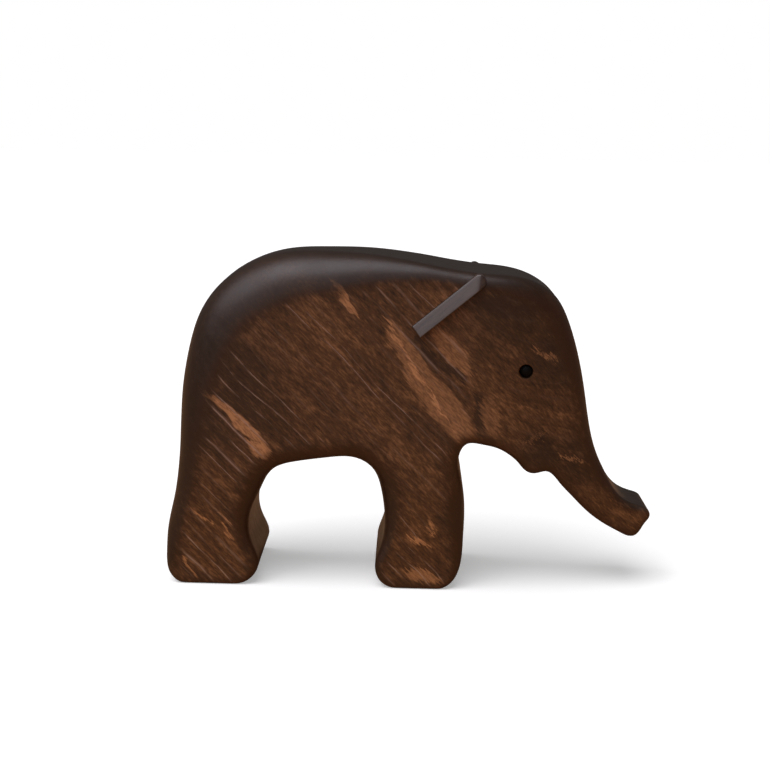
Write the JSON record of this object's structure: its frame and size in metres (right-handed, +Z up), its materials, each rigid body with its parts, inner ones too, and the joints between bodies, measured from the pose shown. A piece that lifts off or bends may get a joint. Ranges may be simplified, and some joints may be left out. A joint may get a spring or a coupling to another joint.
{
  "type": "carved wooden elephant",
  "caption": "Standing elephant figurine sawn from one thick board, rounded over by hand, with raised ear strips and pressed-in peg eyes",
  "frame": {"origin": "centre of the bounding box on the plane of the two soles", "axes": "+X points to the trunk, the way the elephant faces; +Y is the elephant's left, across the board's thickness; +Z is up"},
  "size_m": [0.119, 0.0314, 0.0817],
  "materials": {
    "stained_wood": "dark walnut-brown stain with a thin satin oil finish, paler along some growth rings",
    "ear_wood": "the same dark stain on smooth end-cut wood, satin",
    "eye_black": "black-stained domed dowel peg, satin"
  },
  "bodies": {
    "root": {"body": "stained_wood", "ear_left": "ear_wood", "ear_right": "ear_wood", "eye_left": "eye_black", "eye_right": "eye_black"}
  },
  "joints": []
}
